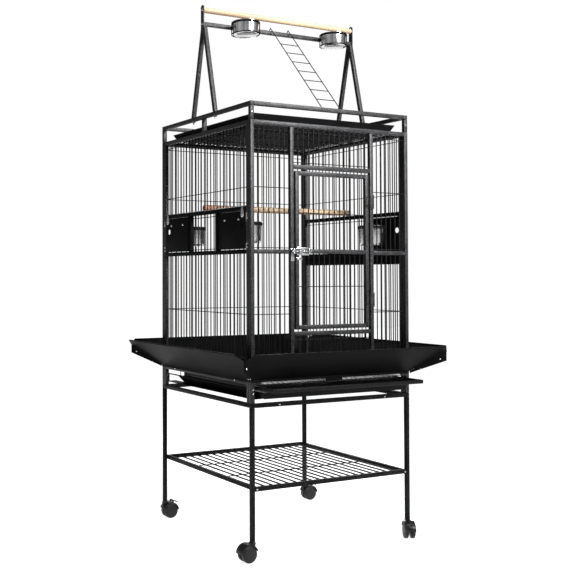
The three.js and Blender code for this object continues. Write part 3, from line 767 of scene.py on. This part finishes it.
# Trays, runners and seed guard: folded satin black sheet. The guard's four slanted sheets end in
# down-turned flanges that are screwed together, and their top edges are folded over.

repaint(satin_black, "bottom_tray", "top_tray", "tray_runner_left", "tray_runner_right",
        *[f"seed_guard_{side}" for side in ("front", "back", "left", "right")])

loop = bmesh.new()
loop_y, loop_z = (0.139, 0.179), (0.5005, 0.5225)
for y in loop_y:
    add_rod(loop, (-0.2885, y, loop_z[0]), (-0.2885, y, loop_z[1]), 0.0013)
for z in loop_z:
    add_rod(loop, (-0.2885, loop_y[0] - 0.0012, z), (-0.2885, loop_y[1] + 0.0012, z), 0.0013)
shown(loop, "runner_stop_loop", "frame", "sheet", satin_black)

clip = bmesh.new()
add_bar(clip, (-0.03, -0.2845, 0.5195), (0.03, -0.2823, 0.5355), 0.0006)
shown(clip, "guard_clip", "frame", "sheet", satin_black)
# Two bright zinc strips on the front rail paint the light on its lit front face.
lit_rail_strips = bmesh.new()
for ends in ((-0.27, -0.032), (0.032, 0.265)):
    add_bar(lit_rail_strips, (ends[0], -0.2842, 0.5215), (ends[1], -0.2823, 0.5335), 0.0006)
shown(lit_rail_strips, "guard_strips_painted_light", "frame", "zinc", zinc_bright)

guard_screws = bmesh.new()
half_corner = Vector((0.305, 0.2828, 0))
half_tip = Vector((0.384, 0.369, 0))
guard_low = 0.523
guard_rise = 0.06642
flange_run = half_tip - half_corner
flange_out = Vector((flange_run.y, -flange_run.x, 0)).normalized()
for x in (-1, 1):
    for y in (-1, 1):
        for share in (0.3, 0.82):
            for face in (-1, 1):
                spot = half_corner + flange_run * share + flange_out * face * 0.0021
                normal = flange_out * face
                screw(guard_screws, (x * spot.x, y * spot.y, guard_low + guard_rise * share),
                      (x * normal.x, y * normal.y, 0), 0.0036, 0.002)
shown(guard_screws, "guard_screws", "frame", "zinc", zinc_bright)

# Top perch and cage perch: turned pale wood dowels. The top one is held between the two flat tabs, and
# the inner one is held at its ends by the side walls.


def dowel_wood(name, left_tint):
    wood = Finish(name)
    pale, dark = (0.36, 0.255, 0.16), (0.25, 0.165, 0.095)
    grain = wood.noise(1.0, 5, 0.6, (7, 160, 160))
    pores = wood.noise(1.0, 2, 0.5, (60, 900, 900))
    patches = wood.noise(5, 2)
    light = tuple(min(1, shade * 1.08) for shade in pale)
    colour = wood.ramp(grain * 0.7 + patches * 0.3, (0.36, dark), (0.5, pale), (0.66, light))
    along = wood.node("ShaderNodeSeparateXYZ", None, {"Vector": wood.place})
    tint = wood.ramp(along * 1.6 + 0.5, (0.02, left_tint), (0.36, (1, 1, 1)))
    colour = wood.node("ShaderNodeMix", {"data_type": "RGBA", "blend_type": "MULTIPLY"},
                       {0: 1.0, 6: colour, 7: tint}, 2)
    return wood.surface(Base_Color=colour, Roughness=0.48 + pores * 0.2,
                        Normal=wood.bump(grain * 0.6 + pores * 0.4, 0.2, 0.0004))


beech = dowel_wood("pale_wood", (0.92, 0.9, 0.88))
warm_beech = dowel_wood("warm_wood", (0.8, 0.42, 0.3))


def dowel(node, name, finish):
    low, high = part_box(node)
    radius = (high.z - low.z) / 2
    shape = bmesh.new()
    middle = ((low.y + high.y) / 2, (low.z + high.z) / 2)
    rod = add_rod(shape, (low.x, *middle), (high.x, *middle), radius, 48)
    round_edges = {e for v in rod for e in v.link_edges if len(e.link_faces) == 2}
    ends = [e for e in round_edges if any(len(f.verts) > 4 for f in e.link_faces)]
    bmesh.ops.bevel(shape, geom=ends, offset=0.0015, offset_type="OFFSET", affect="EDGES", segments=3,
                    profile=0.5, material=-1)
    shown(shape, name, "frame", "wood", finish, node)


dowel("play_perch", "top_perch_dowel", beech)
dowel("cage_perch", "cage_perch_dowel", warm_beech)

# Play top: two square-tube A-frames with flat perch tabs, a square crossbar, a wire ladder hooked over it
# and two stainless bowls in black wire holders clipped to its front.

tab_top = 1.73
tab_round = 0.009
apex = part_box("play_crossbar")[0].z - 0.0003
bar_level = 1.668
frame_x = 0.2985
foot_y = 0.069
rim_underside = rim_high.z - tube


def splayed_leg(shape, foot, head):
    """A square tube cut level at both ends, leaning from its foot to its head."""
    made = bmesh.ops.create_cube(shape, size=1)["verts"]
    bmesh.ops.scale(shape, vec=(tube, tube, head.z - foot.z), verts=made)
    lift = Vector((0, 0, (head.z - foot.z) / 2))
    for v in made:
        v.co = v.co + (foot + lift if v.co.z < 0 else head - lift)
    edges = {e for v in made for e in v.link_edges}
    long_edges = [e for e in edges if abs((e.verts[0].co - e.verts[1].co).z) > 0.1]
    bmesh.ops.bevel(shape, geom=long_edges, offset=tube_edge, offset_type="OFFSET", affect="EDGES",
                    segments=2, profile=0.5, material=-1)


def play_frame(name, side):
    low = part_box(f"play_frame_{name}")[0]
    shape = bmesh.new()
    mid_x = side * frame_x
    for end in (-1, 1):
        splayed_leg(shape, Vector((mid_x, end * foot_y, low.z)), Vector((mid_x, end * 0.0035, apex)))
    outline = [(-tab_round, apex - 0.025), (tab_round, apex - 0.025)]
    for turn in range(0, 181, 12):
        angle = math.radians(turn)
        outline.append((tab_round * math.cos(angle), tab_top - tab_round + tab_round * math.sin(angle)))
    tab = shape.faces.new([shape.verts.new((side * 0.3028, y, z)) for y, z in outline])
    thicken(shape, tab, (side * 0.003, 0, 0))
    shown(shape, f"play_legs_{name}", "frame", "tube", hammered_grey, f"play_frame_{name}")
    fixings = bmesh.new()
    screw(fixings, (side * 0.3058, 0, tab_top - 0.016), (side, 0, 0), 0.004, 0.0024)
    screw(fixings, (side * 0.3058, 0, bar_level), (side, 0, 0), 0.0036, 0.002)
    for end in (-1, 1):
        foot = (mid_x, end * foot_y)
        add_rod(fixings, (*foot, rim_underside - 0.009), (*foot, rim_underside), 0.0024, 16)
        add_rod(fixings, (*foot, rim_underside - 0.0045), (*foot, rim_underside), 0.005, 6)
    shown(fixings, f"play_fixings_{name}", "frame", "zinc", zinc_bright)


play_frame("left", -1)
play_frame("right", 1)
crossbar = bmesh.new()
add_bar(crossbar, *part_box("play_crossbar"))
shown(crossbar, "play_crossbar_tube", "frame", "tube", hammered_grey, "play_crossbar")

peak = Vector((0, 0, bar_level + 0.017))
ladder_foot = Vector((0, -0.276, rim_high.z + 0.0018))
ladder_shape = bmesh.new()
ladder_run = ladder_foot - peak
rail_xs = (-0.038, 0.034)
for x in rail_xs:
    aside = Vector((x, 0, 0))
    add_rod(ladder_shape, peak + aside, ladder_foot + aside, 0.0015, 12)
    add_rod(ladder_shape, peak + aside, Vector((x, 0.016, bar_level - 0.001)), 0.0015, 12)
    bmesh.ops.create_uvsphere(ladder_shape, u_segments=12, v_segments=8, radius=0.0016,
                              matrix=Matrix.Translation(peak + aside))
for rung in range(7):
    at = peak + ladder_run * (0.213 + rung * 0.1155)
    add_rod(ladder_shape, at + Vector((rail_xs[0], 0, 0)), at + Vector((rail_xs[1], 0, 0)), 0.0014, 12)
shown(ladder_shape, "ladder_wires", "ladder", "wire", wire_black, "play_ladder")

play_ring = 0.0453
for name, side in (("left", -1), ("right", 1)):
    holder = bmesh.new()
    seat_low, seat_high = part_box(f"play_bowl_holder_{name}")
    centre = (side * 0.178, -0.062)
    add_ring(holder, centre, play_ring, seat_high.z - 0.0018, 0.0019)
    add_ring(holder, centre, play_ring, seat_low.z + 0.002, 0.0019)
    for turn in (-30, 60, 150):
        angle = math.radians(turn)
        at = (centre[0] + play_ring * math.cos(angle), centre[1] + play_ring * math.sin(angle))
        add_rod(holder, (*at, seat_low.z + 0.0025), (*at, seat_high.z - 0.0018), 0.0018)
    add_bar(holder, (centre[0] - 0.012, -0.0175, 1.661),
            (centre[0] + 0.012, -0.0068, seat_high.z - 0.0008), 0.001)
    shown(holder, f"play_ring_{name}", "frame", "sheet", satin_black, f"play_bowl_holder_{name}")
    bowl(f"play_bowl_{name}", f"play_dish_{name}", f"play_bowl_{name}")

# Casters: black moulded twin-wheel casters. A hood and stem turn under each leg, two wheels with domed
# caps run on one axle, and the back pair have a foot lever.


def moulded(name, shade, rough):
    plastic = Finish(name)
    skin = plastic.noise(800, 2)
    wear = plastic.noise(30, 3)
    colour = plastic.ramp(wear, (0.3, (shade * 0.7,) * 3), (0.75, (shade * 1.5,) * 3))
    return plastic.surface(Base_Color=colour, Roughness=rough + wear * 0.14, Specular_IOR_Level=0.3,
                           Normal=plastic.bump(skin, 0.15, 0.0003))


black_plastic = moulded("moulded_black", 0.008, 0.26)
wheel_plastic = moulded("wheel_black", 0.005, 0.4)
headings = {"front_left": 0, "front_right": 62, "back_left": 180, "back_right": 180}
trail = 0.018
wheel_radius = 0.025


def arc_points(radius, angles):
    return [(-trail + radius * math.cos(angle), wheel_radius + radius * math.sin(angle)) for angle in angles]


def caster_hood(corner, place):
    """The hood over both wheels, its stem and, at the back, the ears that carry the lever."""
    hood = bmesh.new()
    arc = [math.radians(18 + 158 * i / 28) for i in range(29)]
    strip = arc_points(wheel_radius + 0.005, arc) + arc_points(wheel_radius + 0.0018, reversed(arc))
    thicken(hood, hood.faces.new([hood.verts.new((x, -0.017, z)) for x, z in strip]), (0, 0.034, 0))
    sharp_edges = [e for e in hood.edges if len(e.link_faces) == 2 and e.calc_face_angle() > 0.6]
    bmesh.ops.bevel(hood, geom=sharp_edges, offset=0.0009, offset_type="OFFSET", affect="EDGES",
                    segments=2, profile=0.5, material=-1)
    add_bar(hood, (-trail - 0.008, -0.0036, 0.018), (0.009, 0.0036, 0.054), 0.001)
    add_bar(hood, (-trail, -0.008, 0.051), (0.008, 0.008, 0.0562), 0.0012)
    add_rod(hood, (0, 0, 0.0525), (0, 0, 0.0598), 0.009, 40)
    if corner.startswith("back"):
        for side in (-1, 1):
            y = sorted((side * 0.008, side * 0.011))
            add_bar(hood, (-trail - 0.012, y[0], 0.052), (-trail - 0.006, y[1], 0.061), 0.0008)
    shown(hood, f"caster_hood_{corner}", f"caster_{corner}", "caster", black_plastic,
          f"caster_body_{corner}", place=place)


def brake_lever(corner, place):
    """A foot paddle on a short pivot between the hood's ears."""
    lever = bmesh.new()
    pivot = Vector((-trail - 0.009, 0, 0.059))
    half_pivot = Vector((0, 0.0077, 0))
    add_rod(lever, pivot - half_pivot, pivot + half_pivot, 0.003, 28)
    add_bar(lever, (-0.0215, -0.007, -0.0015), (0.001, 0.007, 0.0015), 0.0007)
    paddle = [v for v in lever.verts if v.co.z < 0.03]
    tilt = Matrix.Rotation(math.radians(-18.4), 3, "Y")
    bmesh.ops.rotate(lever, cent=(0, 0, 0), matrix=tilt, verts=paddle)
    bmesh.ops.translate(lever, vec=pivot, verts=paddle)
    shown(lever, f"brake_lever_{corner}", f"caster_{corner}_brake", "caster", black_plastic,
          f"caster_brake_{corner}", place=place)


def caster_wheels(corner, place):
    """Two wheels with domed caps on one axle."""
    tread = [(0, 0.0042), (0.004, 0.0042), (0.0225, 0.0045), (0.0246, 0.0055), (wheel_radius, 0.0075),
             (wheel_radius, 0.0135), (0.0246, 0.0155), (0.0225, 0.0165), (0.0215, 0.0162),
             (0.0205, 0.0168), (0.014, 0.0171), (0, 0.0171)]
    wheels = bmesh.new()
    for side in (-1, 1):
        wheel = bmesh.new()
        spun(wheel, tread, 64)
        upright = Matrix.Rotation(math.radians(-90 * side), 3, "X")
        bmesh.ops.rotate(wheel, cent=(0, 0, 0), matrix=upright, verts=wheel.verts)
        bmesh.ops.translate(wheel, vec=(-trail, 0, wheel_radius), verts=wheel.verts)
        join_in(wheels, wheel)
    add_rod(wheels, (-trail, -0.0045, wheel_radius), (-trail, 0.0045, wheel_radius), 0.003, 20)
    shown(wheels, f"caster_rollers_{corner}", f"caster_{corner}_wheels", "wheel", wheel_plastic,
          f"caster_wheels_{corner}", place=place, sharp=30)


for corner in corners:
    leg_low, leg_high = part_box(f"leg_{corner}")
    under = Matrix.Translation(((leg_low.x + leg_high.x) / 2, (leg_low.y + leg_high.y) / 2, 0))
    place = under @ Matrix.Rotation(math.radians(headings[corner]), 4, "Z")
    if corner.startswith("back"):
        brake_lever(corner, place)
    caster_hood(corner, place)
    caster_wheels(corner, place)

# Frame screws: small bright screws hold the rim's stubs, the shelf's corners, the stand's front rail and
# the wall panels together.

frame_screws = bmesh.new()
for x in (-1, 1):
    for y in (-1, 1):
        screw(frame_screws, (x * 0.2985, y * 0.2825, 1.337), (0, y, 0))
        screw(frame_screws, (x * 0.305, y * 0.19, 0.5275), (x, 0, 0), 0.003)
        screw(frame_screws, (x * 0.285, y * 0.2825, 0.2115), (0, y, 0), 0.0036)
        screw(frame_screws, (x * 0.203, y * 0.2825, 0.4585), (0, y, 0), 0.0036)
        for z in (0.506, 0.494):
            screw(frame_screws, (x * 0.2985, y * 0.2825, z), (0, y, 0), 0.003)
        for z in (0.932, 0.943):
            screw(frame_screws, (x * 0.305, y * 0.262, z), (x, 0, 0), 0.0032)
        tab_x = sorted((x * 0.3044, x * 0.306))
        tab_y = sorted((y * 0.2595, y * 0.2645))
        add_bar(frame_screws, (tab_x[0], tab_y[0], 1.016), (tab_x[1], tab_y[1], 1.036), 0.0006)
shown(frame_screws, "frame_screws", "frame", "zinc", zinc_bright)
